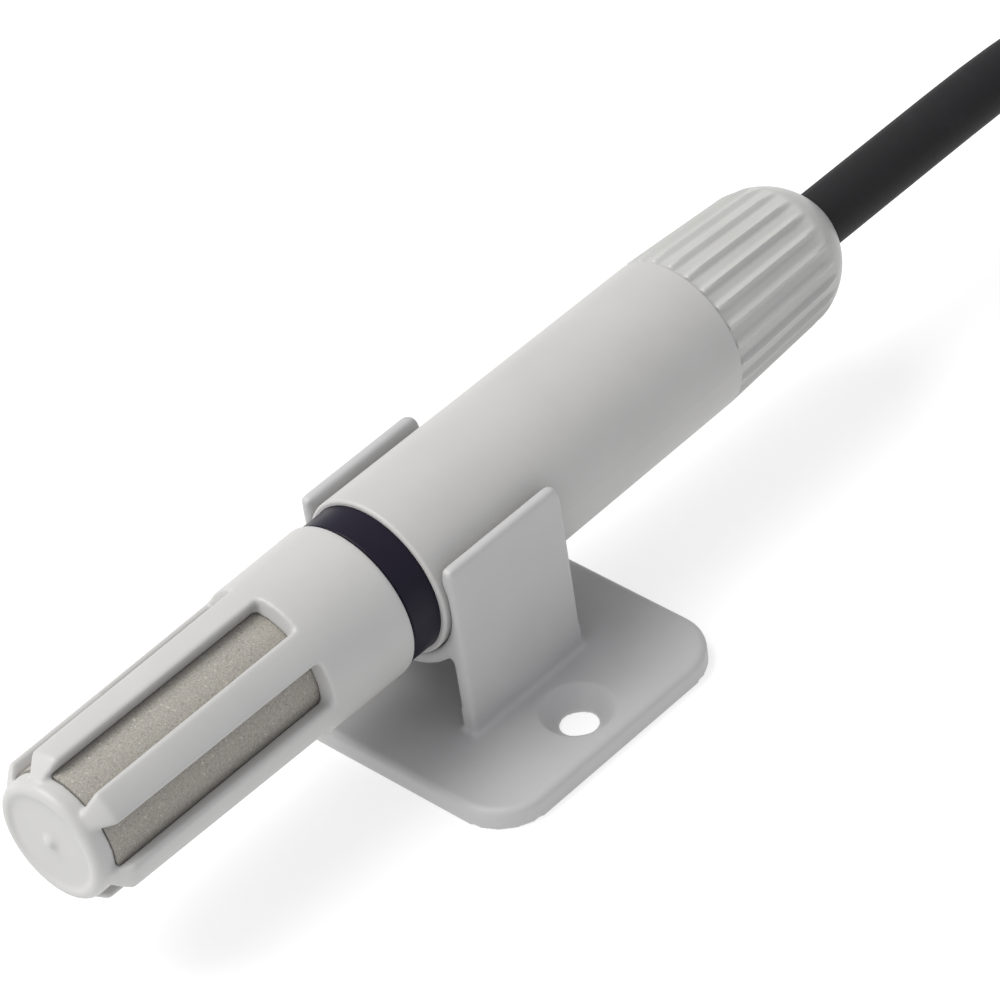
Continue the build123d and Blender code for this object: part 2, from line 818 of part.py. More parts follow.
def plug_shell():
    """Grooved grip with a spigot each way; the cable ends inside it."""
    shell = turned(
        (cable_bore, plug_spigot_start, 0),
        (plug_back_spigot_radius, plug_spigot_start, 0),
        (plug_back_spigot_radius, plug_shell_start, 0),
        (plug_shell_radius, plug_shell_start, plug_edge_rounding),
        (plug_shell_radius, plug_shell_end, plug_edge_rounding),
        (plug_front_spigot_radius, plug_shell_end, 0),
        (plug_front_spigot_radius, plug_rim_start, 0),
        (plug_rim_radius, plug_rim_start, 0),
        (plug_rim_radius, plug_front_end, 0),
        (plug_insert_radius + slip, plug_front_end, 0),
        (plug_insert_radius + slip, plug_insert_front - plug_insert_length, 0),
        (0, plug_insert_front - plug_insert_length, 0),
        (0, plug_cable_depth, 0),
        (cable_bore, plug_cable_depth, 0),
    )
    spacing = plug_shell_length / (plug_grip_groove_count + 1)
    floor = plug_shell_radius - plug_grip_groove_depth
    for k in range(plug_grip_groove_count):
        start = plug_shell_start + (k + 1) * spacing - plug_grip_groove_width / 2
        around = rod(plug_shell_radius + slip, start, plug_grip_groove_width)
        shell -= around - rod(floor, start, plug_grip_groove_width)
    return in_plug(shell)


def plug_collar():
    """Coupling screw: a knurled ring that turns on the shell's front spigot, with a threaded end."""
    rim_bore = plug_rim_radius + slip
    collar = turned(
        (plug_front_spigot_radius + slip, plug_collar_start, 0),
        (plug_collar_radius, plug_collar_start, plug_edge_rounding),
        (plug_collar_radius, plug_thread_start, plug_edge_rounding),
        (plug_thread_radius, plug_thread_start, 0),
        (plug_thread_radius, plug_thread_start + plug_thread_length, plug_edge_rounding),
        (rim_bore, plug_thread_start + plug_thread_length, 0),
        (rim_bore, plug_rim_start - slip, 0),
        (plug_front_spigot_radius + slip, plug_rim_start - slip, 0),
    )
    cut = rod(plug_knurl_cut_radius, plug_collar_start, plug_collar_length)
    notch = Pos(plug_collar_radius + plug_knurl_cut_radius / 2, 0, 0) * cut
    return in_plug(collar - around_axis(notch, plug_knurl_count))


def contact_places():
    """Places of the plug's contacts round its middle."""
    corners = [radians(45 + k * 360 / plug_contact_count) for k in range(plug_contact_count)]
    return [Pos(plug_contact_circle * cos(a), 0, plug_contact_circle * sin(a)) for a in corners]


def plug_insert():
    """Contact carrier with a key rib at its front and a hole for each contact."""
    insert = rod(plug_insert_radius, plug_insert_front - plug_insert_length, plug_insert_length)
    hole = rod(plug_contact_radius + slip, plug_contact_start, plug_contact_depth)
    insert -= [place * hole for place in contact_places()]
    key_size = (plug_key_width, plug_insert_reach, plug_rim_radius - plug_insert_radius)
    key_base = plug_insert_radius - slip
    return in_plug(insert + block(key_size, 0, plug_front_end, key_base))


def plug_contacts():
    """Round contacts that stand in the plug's open front."""
    contact = rod(plug_contact_radius, plug_contact_start, plug_contact_depth + plug_contact_reach)
    tip = contact.faces().sort_by(Axis.Y)[-1]
    contact = fillet(tip.edges(), plug_contact_radius / 2)
    return in_plug(Compound(children=[place * contact for place in contact_places()]))


PROBE_NODES = {
    "body_tube": body_tube,
    "sensor_head": sensor_head,
    "head_o_ring": head_o_ring,
    "cap_o_ring": cap_o_ring,
    "filter_cap": filter_cap,
    "filter_sleeve": filter_sleeve,
    "element_board": element_board,
    "temperature_element": temperature_element,
    "humidity_element": humidity_element,
    "element_leads": element_leads,
    "contact_pins": contact_pins,
    "signal_board": signal_board,
    "pin_socket": pin_socket,
    "processor_chip": processor_chip,
    "board_capacitors": board_capacitors,
    "wire_terminal": wire_terminal,
    "lead_wire_1": lambda: lead_wire(0),
    "lead_wire_2": lambda: lead_wire(1),
    "lead_wire_3": lambda: lead_wire(2),
    "lead_wire_4": lambda: lead_wire(3),
    "gland_seal": gland_seal,
    "gland_clamp": gland_clamp,
    "gland_nut": gland_nut,
}

# The clip and what lies on the floor are drawn where they are; the probe is lifted to its axis
PLACED_NODES = {
    "mounting_clip": mounting_clip,
    "cable": cable,
    "cable_coil": cable_coil,
    "coil_ties": coil_ties,
    "cable_tail": cable_tail,
    "plug_back_nut": plug_back_nut,
    "plug_shell": plug_shell,
    "plug_collar": plug_collar,
    "plug_insert": plug_insert,
    "plug_contacts": plug_contacts,
}


def main():
    """Write each piece to parts/ as a file of its own name."""
    os.makedirs("parts", exist_ok=True)
    for name, make in PROBE_NODES.items():
        export_step(moved(make(), Pos(0, 0, axis_height)), f"parts/{name}.step")
    for name, make in PLACED_NODES.items():
        export_step(make(), f"parts/{name}.step")


if __name__ == "__main__":
    main()
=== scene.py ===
import math

import bmesh
import bpy
from mathutils import Matrix, Vector


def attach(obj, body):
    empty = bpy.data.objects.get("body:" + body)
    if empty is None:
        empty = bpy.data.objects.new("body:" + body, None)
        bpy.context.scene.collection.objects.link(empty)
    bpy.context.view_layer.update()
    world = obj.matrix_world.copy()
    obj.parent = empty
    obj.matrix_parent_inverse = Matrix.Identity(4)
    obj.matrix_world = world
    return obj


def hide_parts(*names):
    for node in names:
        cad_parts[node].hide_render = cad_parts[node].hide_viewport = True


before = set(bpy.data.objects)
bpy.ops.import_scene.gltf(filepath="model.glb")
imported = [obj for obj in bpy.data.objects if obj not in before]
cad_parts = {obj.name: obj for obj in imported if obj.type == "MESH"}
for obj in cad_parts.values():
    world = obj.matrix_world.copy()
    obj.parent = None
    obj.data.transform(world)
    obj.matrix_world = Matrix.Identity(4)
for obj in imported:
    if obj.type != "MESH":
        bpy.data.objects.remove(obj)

bl_info = {
    "name": "Air temperature probe in a clip",
    "version": (1, 0, 0),
    "blender": (4, 5, 0),
    "location": "View3D > Sidebar > Probe",
    "description": "Pieces, finishes, cable and stage of an air temperature probe with a filter cap",
    "category": "Add Mesh",
}

MM = 0.001
# height of the probe's axis over the floor, in mm and in metres
AXIS = 18.3
AXIS_HEIGHT = AXIS * MM
# middle of the put-away coil, in mm
COIL_MIDDLE = (18.2, 161.0)


# ---------------------------------------------------------------- selection and edit mode


def clear_selection():
    """Leave edit mode and select nothing."""
    if bpy.context.object and bpy.context.object.mode != "OBJECT":
        bpy.ops.object.mode_set(mode="OBJECT")
    bpy.ops.object.select_all(action="DESELECT")


def name_piece(name):
    """Name the primitive that was just added and open it in edit mode."""
    piece = bpy.context.object
    piece.name = name
    piece.data.name = name
    bpy.ops.object.mode_set(mode="EDIT")
    return piece


def pick(piece, kind, test):
    """Select the points, edges or faces that pass the test, and nothing else."""
    bpy.ops.mesh.select_mode(type=kind)
    bpy.ops.mesh.select_all(action="DESELECT")
    shape = bmesh.from_edit_mesh(piece.data)
    parts = {"VERT": shape.verts, "EDGE": shape.edges, "FACE": shape.faces}[kind]
    chosen = [part for part in parts if test(part)]
    if not chosen:
        raise RuntimeError(f"{piece.name}: nothing was found to select")
    for part in chosen:
        part.select = True
    shape.select_flush_mode()
    bmesh.update_edit_mesh(piece.data)


def add_modifier(piece, kind, **settings):
    """Put a modifier on a piece and apply it."""
    modifier = piece.modifiers.new(kind.title(), kind)
    for key, value in settings.items():
        setattr(modifier, key, value)
    bpy.ops.object.modifier_apply(modifier=modifier.name)


def close_piece(piece, finish, replaced, smooth_angle=40.0, merge=True):
    """Leave edit mode, settle the piece at the origin, shade it and put it on the frame.

    A piece that was extruded ring by ring is merged first and its faces are turned outwards.
    """
    if merge:
        bpy.ops.mesh.select_all(action="SELECT")
        bpy.ops.mesh.remove_doubles(threshold=0.001 * MM)
        bpy.ops.mesh.normals_make_consistent(inside=False)
    bpy.ops.object.mode_set(mode="OBJECT")
    bpy.ops.object.transform_apply(location=True, rotation=True, scale=True)
    bpy.ops.object.shade_smooth_by_angle(angle=math.radians(smooth_angle))
    piece.data.materials.clear()
    piece.data.materials.append(finish)
    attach(piece, "root")
    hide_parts(*replaced)
    clear_selection()


# ---------------------------------------------------------------- shader maths and nodes


class Wire:
    """A shader output that takes part in Python expressions."""

    def __init__(self, board, socket):
        self.board = board
        self.socket = socket

    def maths(self, operation, first, second=0.0):
        """One Math node on two values."""
        return self.board.node("ShaderNodeMath", {"operation": operation}, {0: first, 1: second})

    def __add__(self, other):
        return self.maths("ADD", self, other)

    def __radd__(self, other):
        return self.maths("ADD", other, self)

    def __sub__(self, other):
        return self.maths("SUBTRACT", self, other)

    def __rsub__(self, other):
        return self.maths("SUBTRACT", other, self)

    def __mul__(self, other):
        return self.maths("MULTIPLY", self, other)

    def __rmul__(self, other):
        return self.maths("MULTIPLY", other, self)

    def __abs__(self):
        return self.maths("ABSOLUTE", self)

    def sine(self):
        """Sine of the value in radians."""
        return self.maths("SINE", self)

    def at_least(self, other):
        """The larger of two values."""
        return self.maths("MAXIMUM", self, other)

    def fade(self, low, high):
        """Rise smoothly from 0 at low to 1 at high."""
        return self.board.node(
            "ShaderNodeMapRange",
            {"interpolation_type": "SMOOTHSTEP"},
            {"Value": self, "From Min": low, "From Max": high},
        )


class Board:
    """The nodes of one material."""

    def __init__(self, name):
        self.material = bpy.data.materials.new(name)
        self.material.use_nodes = True
        self.tree = self.material.node_tree
        self.tree.nodes.clear()
        self.place = self.node("ShaderNodeTexCoord", output="Object")

    def node(self, kind, settings=None, values=None, output=0):
        """Add one node: its settings first, then the values and links of its sockets."""
        made = self.tree.nodes.new(kind)
        for key, value in (settings or {}).items():
            setattr(made, key, value)
        for key, value in (values or {}).items():
            if isinstance(value, Wire):
                self.tree.links.new(value.socket, made.inputs[key])
            else:
                made.inputs[key].default_value = value
        return Wire(self, made.outputs[output]) if len(made.outputs) else None

    def noise(self, grain, detail=2.0, roughness=0.5, stretch=None):
        """Soft noise from 0 to 1 whose lumps are about one grain across, in millimetres."""
        place = self.place
        if stretch:
            place = self.node("ShaderNodeMapping", values={"Vector": place, "Scale": stretch})
        return self.node(
            "ShaderNodeTexNoise",
            values={"Vector": place, "Scale": 1.0 / (grain * MM), "Detail": detail, "Roughness": roughness},
        )

    def cells(self, grain):
        """Distance from the middle of cells that are about one grain across, in millimetres."""
        values = {"Vector": self.place, "Scale": 1.0 / (grain * MM)}
        return self.node("ShaderNodeTexVoronoi", {"feature": "F1"}, values, "Distance")

    def axis(self, letter):
        """The place on the piece along one axis, in metres."""
        return self.node("ShaderNodeSeparateXYZ", values={0: self.place}, output=letter)

    def blend(self, share, first, second):
        """Mix of two colours by a share from 0 to 1."""
        colours = [colour if isinstance(colour, Wire) else (*colour, 1.0) for colour in (first, second)]
        # a Mix node set to colours takes the share in socket 0 and the colours in 6 and 7, and gives out 2
        return self.node(
            "ShaderNodeMix",
            {"data_type": "RGBA", "clamp_factor": True},
            {0: share, 6: colours[0], 7: colours[1]},
            2,
        )

    def surface(self, colour, roughness, height=None, depth=0.02, gloss=0.5, metal=0.0, glow=0.0):
        """Close the material: colour, roughness, relief of a depth in millimetres and plain values."""
        values = {
            "Base Color": colour,
            "Roughness": roughness,
            "Specular IOR Level": gloss,
            "Metallic": metal,
            "Emission Color": (1.0, 1.0, 1.0, 1.0),
            "Emission Strength": glow,
        }
        if height is not None:
            values["Normal"] = self.node(
                "ShaderNodeBump",
                values={"Strength": 1.0, "Distance": depth * MM, "Height": height},
                output="Normal",
            )
        shader = self.node("ShaderNodeBsdfPrincipled", values=values)
        self.node("ShaderNodeOutputMaterial", values={"Surface": shader})
        return self.material


def shade(colour, factor):
    """A colour made lighter or darker."""
    return tuple(min(1.0, channel * factor) for channel in colour)


# ---------------------------------------------------------------- finishes


def moulded_plastic(name, colour, roughness, tone=0.05, gloss=0.42):
    """Opaque moulded plastic: a fine spark-eroded skin, a little cloudiness and soft gloss."""
    board = Board(name)
    grain, depth = 0.22, 0.006
    cloud = board.noise(6.0, detail=3.0)
    skin = board.noise(grain, detail=2.0, roughness=0.6)
    speck = board.noise(grain * 0.45, detail=1.0)
    tint = board.blend(cloud, shade(colour, 1 - tone), shade(colour, 1 + tone))
    tint = board.blend((skin - 0.5).at_least(0.0) * 0.35, tint, shade(colour, 1 - 3 * tone))
    dull = roughness - 0.06 + cloud * 0.06 + speck * 0.08
    return board.surface(tint, dull, height=skin * 0.7 + speck * 0.3, depth=depth, gloss=gloss)


def sintered_filter(name, light, dark):
    """Sintered filter: pressed grains with small dark pores between them, and bright specks painted in as
    glints of light on single grains.
    """
    board = Board(name)
    grains = board.cells(0.2)
    fine = board.noise(0.11, detail=2.0, roughness=0.75)
    pores = board.noise(0.32, detail=2.0, roughness=0.6).fade(0.6, 0.72)
    # painted glints: sparse bright specks that lighten the colour where light would catch single grains
    painted_glints = board.noise(0.42, detail=2.0, roughness=0.7).fade(0.62, 0.72)
    patch = board.noise(2.6, detail=2.0)
    tint = board.blend(grains.fade(0.05, 0.8) * 0.6, light, dark)
    tint = board.blend(fine.fade(0.3, 0.7) * 0.5, tint, shade(dark, 1.2))
    tint = board.blend(pores * 0.55, tint, shade(dark, 0.55))
    tint = board.blend(painted_glints * 0.5, tint, shade(light, 1.6))
    tint = board.blend(patch * 0.25, tint, shade(dark, 1.5))
    height = fine * 0.6 - grains * 0.6 - pores * 0.5
    return board.surface(tint, 0.8 + pores * 0.1, height=height, depth=0.04, gloss=0.25)


def soft_rubber(name, colour):
    """Matt rubber with a dusty bloom."""
    board = Board(name)
    bloom = board.noise(1.5, detail=4.0)
    skin = board.noise(0.15, detail=1.0)
    tint = board.blend(bloom, colour, shade(colour, 1.7))
    return board.surface(tint, 0.7 + bloom * 0.15, height=skin, depth=0.008)


def drawn_jacket(name, colour):
    """Matt cable jacket, drawn along its length, with faint die lines and scuffs."""
    board = Board(name)
    skin = board.noise(0.3, detail=3.0, roughness=0.65)
    scuff = board.noise(3.0, detail=3.0).fade(0.55, 0.75)
    tint = board.blend(skin, shade(colour, 0.85), shade(colour, 1.25))
    tint = board.blend(scuff * 0.35, tint, shade(colour, 1.9))
    return board.surface(tint, 0.6 + skin * 0.12, height=skin, depth=0.03, gloss=0.25)


def plated_metal(name, colour, thread=None):
    """Plated metal with fine turning lines; a thread, given by its sizes, is cut about Y."""
    board = Board(name)
    lines = board.noise(0.5, detail=2.0, stretch=(1.0, 14.0, 1.0))
    stain = board.noise(2.5, detail=3.0)
    if thread:
        along = board.axis("Y")
        turns = (along * (2 * math.pi / (thread["pitch"] * MM))).sine()
        first = along.fade((thread["from"] + 0.2) * MM, (thread["from"] + 0.4) * MM)
        last = along.fade((thread["to"] - 0.6) * MM, (thread["to"] - 0.4) * MM)
        height, depth = lines * 0.02 + turns * first * (1.0 - last), thread["depth"]
    else:
        height, depth = lines * 0.15, 0.03
    tint = board.blend(stain, shade(colour, 0.92), colour)
    return board.surface(tint, 0.24 + stain * 0.12 + lines * 0.06, height=height, depth=depth, metal=1.0)


def glass_laminate(name, colour):
    """Board laminate: lacquer over a fine woven glass cloth, with copper tracks under it."""
    board = Board(name)
    cloth_pitch, track_pitch = 0.35 * MM, 1.2 * MM
    across, along = board.axis("X"), board.axis("Y")
    warp = (across * (math.pi / cloth_pitch)).sine()
    weft = (along * (math.pi / cloth_pitch)).sine()
    weave = abs(warp) * 0.5 + abs(weft) * 0.5
    tracks = abs((across * (math.pi / track_pitch)).sine()).fade(0.82, 0.9)
    breaks = board.noise(4.0, detail=0.0).fade(0.48, 0.5)
    tint = board.blend(weave * 0.35, colour, shade(colour, 1.6))
    tint = board.blend(tracks * breaks * 0.6, tint, shade(colour, 2.2))
    return board.surface(tint, 0.3 + weave * 0.1, height=weave * 0.2 + tracks * breaks, depth=0.015)


def plain_ceramic(name, colour):
    """Fired ceramic with tiny pits."""
    board = Board(name)
    pits = board.noise(0.1, detail=2.0)
    cloud = board.noise(1.0, detail=2.0)
    tint = board.blend(cloud, shade(colour, 0.93), shade(colour, 1.05))
    return board.surface(tint, 0.4 + pits * 0.2, height=pits, depth=0.006)


def bare_metal(name, colour):
    """Plated contacts with a faint tarnish."""
    board = Board(name)
    tarnish = board.noise(0.8, detail=3.0)
    tint = board.blend(tarnish, shade(colour, 0.85), colour)
    return board.surface(tint, 0.22 + tarnish * 0.18, height=tarnish, depth=0.004, metal=1.0)


def floor_finish(colour):
    """Pale studio floor, almost even. It glows a little, so it stays as pale as the photograph's ground."""
    board = Board("studio_floor")
    cloud = board.noise(60.0, detail=2.0)
    tint = board.blend(cloud, shade(colour, 0.995), colour)
    return board.surface(tint, 0.9, gloss=0.1, glow=0.66)


NICKEL = (0.72, 0.71, 0.69)
# the thread on the plug's collar: pitch, both ends along Y and depth, in mm
COLLAR_THREAD = {"pitch": 1.0, "from": 61.2, "to": 68.3, "depth": 0.3}

# slots whose colour isn't in the panel: how the finish is made, its colour and what else it takes
FIXED_FINISHES = {
    "seal_rubber": (soft_rubber, (0.02, 0.02, 0.021), {}),
    "board_laminate": (glass_laminate, (0.02, 0.13, 0.05), {}),
    "element_ceramic": (plain_ceramic, (0.75, 0.74, 0.7), {}),
    "element_film": (plain_ceramic, (0.34, 0.3, 0.2), {}),
    "contact_metal": (bare_metal, (0.83, 0.62, 0.3), {}),
    "dark_moulding": (moulded_plastic, (0.025, 0.025, 0.027), {"roughness": 0.5, "tone": 0.15}),
    "capacitor_ceramic": (plain_ceramic, (0.42, 0.3, 0.18), {}),
    "terminal_plastic": (moulded_plastic, (0.05, 0.28, 0.11), {"roughness": 0.4}),
    "wire_brown": (moulded_plastic, (0.12, 0.045, 0.02), {"roughness": 0.38}),
    "wire_white": (moulded_plastic, (0.75, 0.74, 0.7), {"roughness": 0.38}),
    "wire_blue": (moulded_plastic, (0.02, 0.08, 0.4), {"roughness": 0.38}),
    "wire_black": (moulded_plastic, (0.02, 0.02, 0.02), {"roughness": 0.38}),
    "clamp_plastic": (moulded_plastic, (0.1, 0.1, 0.105), {"roughness": 0.4}),
    "tie_plastic": (moulded_plastic, (0.03, 0.03, 0.032), {"roughness": 0.5}),
    "plug_metal": (plated_metal, NICKEL, {}),
    "plug_collar_metal": (plated_metal, NICKEL, {"thread": COLLAR_THREAD}),
}

MADE_FINISHES = {}


def finish_for(slot):
    """The material of a slot, made when it is first asked for."""
    if slot not in MADE_FINISHES:
        maker, colour, settings = recipe(slot, bpy.context.scene.probe_colours)
        MADE_FINISHES[slot] = maker(slot, colour, **settings)
    return MADE_FINISHES[slot]


def recipe(slot, colours):
    """How the finish of a slot is made, its colour and what else it takes."""
    recipes = {
        "clip_plastic": (moulded_plastic, colours.clip, {"roughness": 0.45}),
        "body_plastic": (moulded_plastic, colours.body, {"roughness": 0.42}),
        "cap_plastic": (moulded_plastic, colours.cap, {"roughness": 0.4}),
        "nut_plastic": (moulded_plastic, colours.nut, {"roughness": 0.36}),
        "head_plastic": (moulded_plastic, colours.collar, {"roughness": 0.35, "tone": 0.12, "gloss": 0.1}),
        "filter_mesh": (sintered_filter, colours.filter_light, {"dark": colours.filter_dark}),
        "cable_jacket": (drawn_jacket, colours.cable, {}),
        **FIXED_FINISHES,
    }
    if slot not in recipes:
        raise RuntimeError(f"no finish is written for the slot {slot}")
    return recipes[slot]


# ---------------------------------------------------------------- settings in the panel


class ProbeSizes(bpy.types.PropertyGroup):
    """Sizes of the pieces that are modelled here."""

    cable_diameter: bpy.props.FloatProperty(
        name="Cable diameter",
        description="Outside diameter of the cable's jacket",
        default=6.5 * MM,
        min=1.0 * MM,
        unit="LENGTH",
    )
    cable_length: bpy.props.FloatProperty(
        name="Cable length",
        description="Real length of the cable, coil included",
        default=0.92,
        min=0.2,
        unit="LENGTH",
    )
    nut_ribs: bpy.props.IntProperty(
        name="Nut ribs",
        description="Number of grip ribs round the gland nut",
        default=24,
        min=8,
        max=60,
    )
    nut_valley: bpy.props.FloatProperty(
        name="Nut valley depth",
        description="Depth of the valleys between the nut's ribs",
        default=0.48 * MM,
        min=0.1 * MM,
        unit="LENGTH",
    )
    tie_width: bpy.props.FloatProperty(
        name="Tie width",
        description="Width of the straps round the coil",
        default=4.6 * MM,
        min=1.0 * MM,
        unit="LENGTH",
    )


def colour_setting(name, description, default):
    """One colour of the panel."""
    return bpy.props.FloatVectorProperty(
        name=name, description=description, default=default, min=0.0, max=1.0, subtype="COLOR"
    )


class ProbeColours(bpy.types.PropertyGroup):
    """Colours of the finishes that show."""

    body: colour_setting("Body", "Warm light grey of the body tube", (0.445, 0.44, 0.43))
    cap: colour_setting("Filter cap", "Whiter grey of the slotted cap", (0.452, 0.449, 0.44))
    nut: colour_setting("Gland nut", "Cooler grey of the ribbed nut", (0.462, 0.462, 0.446))
    clip: colour_setting("Clip", "Grey of the screw-down clip", (0.44, 0.438, 0.437))
    filter_light: colour_setting("Filter grains", "Beige grey of the sintered grains", (0.43, 0.412, 0.37))
    filter_dark: colour_setting("Filter pores", "Dark pores between the grains", (0.215, 0.203, 0.18))
    collar: colour_setting("Collar", "Purplish black of the sensor head", (0.013, 0.011, 0.02))
    cable: colour_setting("Cable", "Matt black of the jacket", (0.0115, 0.0115, 0.0125))
    floor: colour_setting("Floor", "Pale studio floor", (0.42, 0.42, 0.42))


class ProbeStage(bpy.types.PropertyGroup):
    """Camera and lights."""

    lens: bpy.props.FloatProperty(
        name="Lens",
        description="Focal length for a 36 mm sensor",
        default=208.59,
        min=10.0,
        unit="CAMERA",
    )
    key_power: bpy.props.FloatProperty(
        name="Key light",
        description="Power of the large light from the upper left",
        default=5.5,
        min=0.0,
        unit="POWER",
    )
    fill_power: bpy.props.FloatProperty(
        name="Fill light",
        description="Power of the light on the near side",
        default=1.7,
        min=0.0,
        unit="POWER",
    )
    sky: bpy.props.FloatProperty(
        name="Sky",
        description="Strength of the even light from all round",
        default=0.6,
        min=0.0,
    )


# ---------------------------------------------------------------- stage


def add_light(name, towards, distance, size, tint, power):
    """A square area light that looks at the probe from a direction; distance and size in metres."""
    lamp = bpy.data.lights.new(name, "AREA")
    lamp.shape = "SQUARE"
    lamp.size = size
    lamp.energy = power
    lamp.color = tint
    light = bpy.data.objects.new(name, lamp)
    bpy.context.scene.collection.objects.link(light)
    direction = Vector(towards).normalized()
    light.location = Vector((0.0, 0.0, AXIS_HEIGHT)) + direction * distance
    light.rotation_euler = direction.to_track_quat("Z", "Y").to_euler()


class PROBE_OT_stage(bpy.types.Operator):
    """Put up the floor, the lights and the camera"""

    bl_idname = "probe.stage"
    bl_label = "Stage"

    # the photograph's view: the camera's angles in degrees, and its place along its own axes in mm
    turn, rise, roll = 48.31, 40.23, -9.22
    place_right, place_up, place_back = 3.73, 16.5, 580.15
    sensor_width = 36.0
    # direction towards each light, its distance and size in metres, and its tint
    key_light = ((-0.42, -0.4, 1.0), 0.75, 0.5, (1.0, 0.985, 0.955))
    fill_light = ((-0.05, -1.0, 0.5), 0.9, 0.8, (0.95, 0.97, 1.0))
    sky_tint = (0.955, 0.96, 1.0, 1.0)
    # side of the floor, and how far it lies below the plate
    floor_side, floor_drop = 6.0, 0.02 * MM

    def execute(self, context):
        settings = context.scene.probe_stage
        self.camera(context, settings)
        self.lights(context, settings)
        self.floor(context)
        return {"FINISHED"}

    def camera(self, context, settings):
        """The camera, from the photograph's side."""
        turn, rise, roll = (math.radians(angle) for angle in (self.turn, self.rise, self.roll))
        back = Vector((math.sin(turn) * math.cos(rise), -math.cos(turn) * math.cos(rise), math.sin(rise)))
        level = Vector((math.cos(turn), math.sin(turn), 0.0))
        upright = back.cross(level)
        right = level * math.cos(roll) + upright * math.sin(roll)
        up = upright * math.cos(roll) - level * math.sin(roll)
        place = (right * self.place_right + up * self.place_up + back * self.place_back) * MM
        data = bpy.data.cameras.new("photo_camera")
        data.sensor_fit = "HORIZONTAL"
        data.sensor_width = self.sensor_width
        data.lens = settings.lens
        data.clip_start = 0.01
        data.clip_end = 50.0
        camera = bpy.data.objects.new("photo_camera", data)
        context.scene.collection.objects.link(camera)
        turned = Matrix((right, up, back)).transposed()
        camera.matrix_world = Matrix.Translation(place) @ turned.to_4x4()
        context.scene.camera = camera

    def lights(self, context, settings):
        """One large soft light from the upper left, a weak one on the near side and an even sky."""
        add_light("key_light", *self.key_light, settings.key_power)
        add_light("fill_light", *self.fill_light, settings.fill_power)
        world = bpy.data.worlds.new("studio_sky")
        world.use_nodes = True
        background = world.node_tree.nodes["Background"]
        background.inputs["Color"].default_value = self.sky_tint
        background.inputs["Strength"].default_value = settings.sky
        context.scene.world = world
        context.scene.view_settings.view_transform = "Standard"

    def floor(self, context):
        """A wide flat floor, a hair below the plate."""
        clear_selection()
        bpy.ops.mesh.primitive_plane_add(size=self.floor_side, location=(0.0, 0.0, -self.floor_drop))
        floor = name_piece("studio_floor")
        bpy.ops.mesh.subdivide(number_cuts=7)
        bpy.ops.object.mode_set(mode="OBJECT")
        bpy.ops.object.transform_apply(location=True, rotation=True, scale=True)
        floor.data.materials.append(floor_finish(context.scene.probe_colours.floor))
        clear_selection()


# ---------------------------------------------------------------- cable


